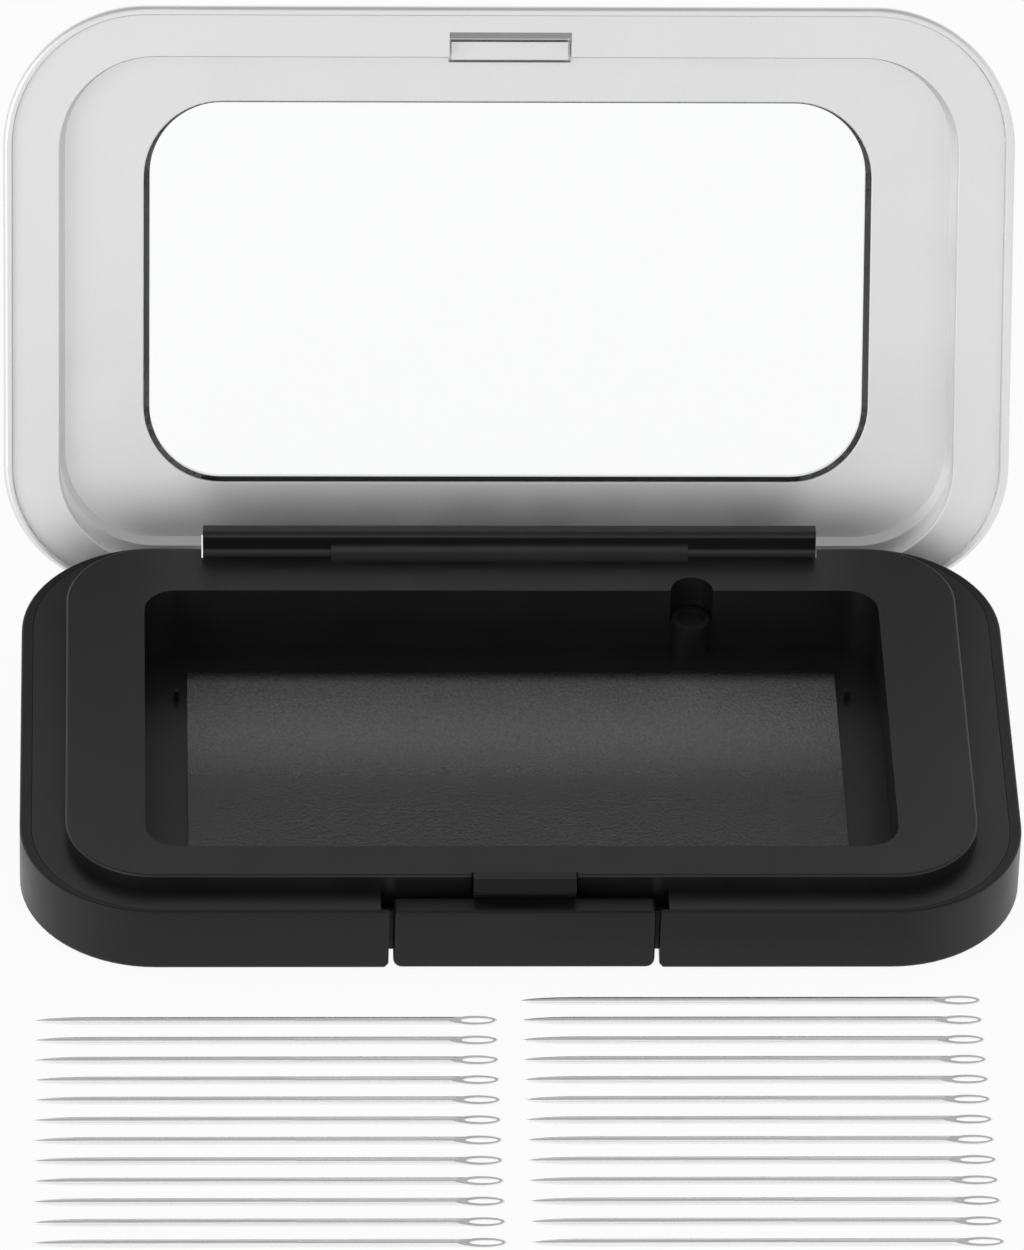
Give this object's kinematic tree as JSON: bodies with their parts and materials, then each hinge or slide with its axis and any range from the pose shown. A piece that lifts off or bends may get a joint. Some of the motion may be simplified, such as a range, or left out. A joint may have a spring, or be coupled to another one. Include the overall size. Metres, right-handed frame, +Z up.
{
  "type": "magnetic needle case",
  "caption": "Hinged needle case standing open: windowed lid, recessed tray with a magnetic sheet, push button catch, and hand sewing needles laid out in front.",
  "frame": {"origin": "middle of the base's flat underside", "axes": "+X to the right of someone facing the open case, +Y from the button to the hinge, +Z up"},
  "size_m": [0.1122, 0.1415, 0.06],
  "materials": {
    "black_plastic": "moulded, fine satin grain",
    "magnet_sheet": "glossy film with a fine pebbled grain",
    "adhesive": "thin black film",
    "silver_lid": "moulded plastic with a satin silver coating",
    "clear_pane": "clear, polished",
    "spring_steel": "plain drawn steel",
    "needle_steel": "nickel plated, polished along the length"
  },
  "bodies": {
    "base": {"base_shell": "black_plastic", "inner_tray": "black_plastic", "magnetic_sheet": "magnet_sheet", "sheet_adhesive": "adhesive", "button_spring_left": "spring_steel", "button_spring_right": "spring_steel", "hinge_pin_left": "spring_steel", "hinge_pin_right": "spring_steel"},
    "lid": {"lid_cover": "silver_lid", "lid_liner": "silver_lid", "window_pane": "clear_pane", "pane_adhesive": "adhesive"},
    "button": {"release_button": "black_plastic"},
    "needles": {"needle_left_01": "needle_steel", "needle_left_02": "needle_steel", "needle_left_03": "needle_steel", "needle_left_04": "needle_steel", "needle_left_05": "needle_steel", "needle_left_06": "needle_steel", "needle_left_07": "needle_steel", "needle_left_08": "needle_steel", "needle_left_09": "needle_steel", "needle_left_10": "needle_steel", "needle_left_11": "needle_steel", "needle_left_12": "needle_steel", "needle_right_01": "needle_steel", "needle_right_02": "needle_steel", "needle_right_03": "needle_steel", "needle_right_04": "needle_steel", "needle_right_05": "needle_steel", "needle_right_06": "needle_steel", "needle_right_07": "needle_steel", "needle_right_08": "needle_steel", "needle_right_09": "needle_steel", "needle_right_10": "needle_steel", "needle_right_11": "needle_steel", "needle_right_12": "needle_steel", "needle_right_13": "needle_steel"}
  },
  "joints": [
    {"name": "lid_hinge", "type": "hinge", "parent": "base", "child": "lid", "pos_m": [0, 0.03063, 0.0039], "axis": [1, 0, 0], "range_deg": [0, 115.85]},
    {"name": "button_press", "type": "slide", "parent": "base", "child": "button", "axis": [0, 1, 0], "range_m": [0, 0.0009], "stiffness_N_per_m": 800, "deforming": ["button_spring_left", "button_spring_right"]},
    {"name": "needles_lift", "type": "slide", "parent": "base", "child": "needles", "axis": [0, 0, 1], "range_m": [0, 0.03]}
  ]
}
